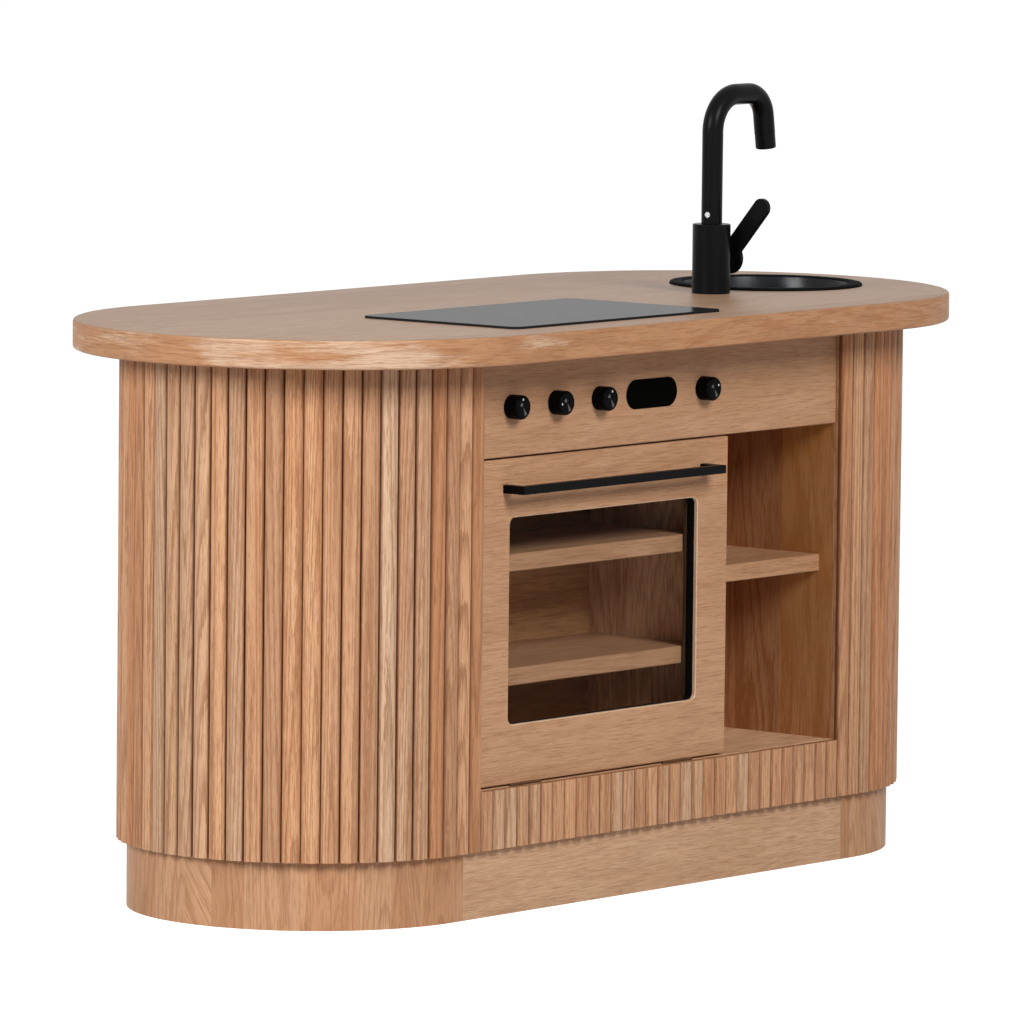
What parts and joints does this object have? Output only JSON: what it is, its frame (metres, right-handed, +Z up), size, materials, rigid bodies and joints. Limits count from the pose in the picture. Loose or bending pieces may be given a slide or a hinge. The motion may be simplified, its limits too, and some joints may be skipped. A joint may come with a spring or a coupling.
{
  "type": "play kitchen",
  "caption": "Oval wooden play kitchen island with slatted round ends, drop-down oven door, open shelf, hob, lift-out basin and swivelling tap.",
  "frame": {"origin": "on the floor, under the middle of the worktop", "axes": "+X to the right along the length as seen by the child in front, +Y from the front to the back, +Z up"},
  "size_m": [1.1458, 0.52, 0.8215],
  "materials": {
    "oak_board": "clear satin lacquer",
    "oak_slat": "clear satin lacquer, moulded round slats",
    "bent_ply": "bent plywood, veneered where it shows",
    "black_coat": "fine matt black powder coat",
    "black_steel": "satin black coated steel",
    "black_knob": "turned look, satin black",
    "black_gloss": "glossy black",
    "clear_pane": "clear",
    "black_rubber": "matt black",
    "black_plastic": "matt black",
    "bright_steel": "bright zinc or nickel"
  },
  "bodies": {
    "cabinet": {"worktop": "oak_board", "hob_plate": "black_coat", "display_lens": "black_gloss", "control_panel": "oak_board", "left_side_panel": "oak_board", "right_side_panel": "oak_board", "divider_panel": "oak_board", "inner_back_panel": "oak_board", "rear_panel": "oak_board", "floor_board": "oak_board", "ceiling_board": "oak_board", "front_apron": "oak_board", "top_rails": "oak_board", "worktop_screws": "bright_steel", "end_formers": "bent_ply", "basin_former": "bent_ply", "left_skin": "bent_ply", "right_skin": "bent_ply", "rear_skin": "bent_ply", "front_strip_skin": "bent_ply", "left_slats": "oak_slat", "right_slats": "oak_slat", "rear_slats": "oak_slat", "front_slats": "oak_slat", "plinth_front": "oak_board", "plinth_rear": "oak_board", "plinth_left_end": "bent_ply", "plinth_right_end": "bent_ply", "plinth_cross_rails": "bent_ply", "oven_upper_shelf": "oak_board", "oven_lower_shelf": "oak_board", "open_shelf": "oak_board", "shelf_pins": "bright_steel", "knob_bushes": "black_plastic", "tap_body": "black_coat", "tap_washer": "bright_steel", "tap_stud": "bright_steel", "tap_nut": "bright_steel", "lever_screw": "bright_steel", "magnet_catch": "black_plastic", "cabinet_hinge_leaves": "black_steel", "hinge_pins": "black_steel"},
    "drop_door": {"oven_door": "oak_board", "door_pane": "clear_pane", "window_seal": "black_rubber", "pane_beads": "black_plastic", "door_handle": "black_coat", "handle_screws": "bright_steel", "door_hinge_leaves": "black_steel", "strike_plate": "bright_steel"},
    "basin_bowl": {"basin": "black_steel"},
    "swan_neck": {"tap_spout": "black_coat", "tap_outlet": "black_plastic", "tap_set_screw": "bright_steel"},
    "lever": {"tap_lever": "black_coat"},
    "first_knob": {"knob_1": "black_knob"},
    "second_knob": {"knob_2": "black_knob"},
    "third_knob": {"knob_3": "black_knob"},
    "fourth_knob": {"knob_4": "black_knob"}
  },
  "joints": [
    {"name": "door_drop", "type": "hinge", "parent": "cabinet", "child": "drop_door", "pos_m": [-0.092, -0.187, 0.132], "axis": [1, 0, 0], "range_deg": [0, 90]},
    {"name": "basin_lift", "type": "slide", "parent": "cabinet", "child": "basin_bowl", "axis": [0, 0, 1], "range_m": [0, 0.07]},
    {"name": "spout_swivel", "type": "hinge", "parent": "cabinet", "child": "swan_neck", "pos_m": [0.259, -0.048, 0.674], "axis": [0, 0, 1], "range_deg": [-120, 120]},
    {"name": "lever_tilt", "type": "hinge", "parent": "cabinet", "child": "lever", "pos_m": [0.289, -0.048, 0.636], "axis": [1, 0, 0], "range_deg": [-40, 35]},
    {"name": "first_knob_turn", "type": "hinge", "parent": "cabinet", "child": "first_knob", "pos_m": [-0.246, -0.188, 0.519], "axis": [0, 1, 0], "continuous": true},
    {"name": "second_knob_turn", "type": "hinge", "parent": "cabinet", "child": "second_knob", "pos_m": [-0.175, -0.188, 0.519], "axis": [0, 1, 0], "continuous": true},
    {"name": "third_knob_turn", "type": "hinge", "parent": "cabinet", "child": "third_knob", "pos_m": [-0.104, -0.188, 0.519], "axis": [0, 1, 0], "continuous": true},
    {"name": "fourth_knob_turn", "type": "hinge", "parent": "cabinet", "child": "fourth_knob", "pos_m": [0.068, -0.188, 0.519], "axis": [0, 1, 0], "continuous": true}
  ]
}
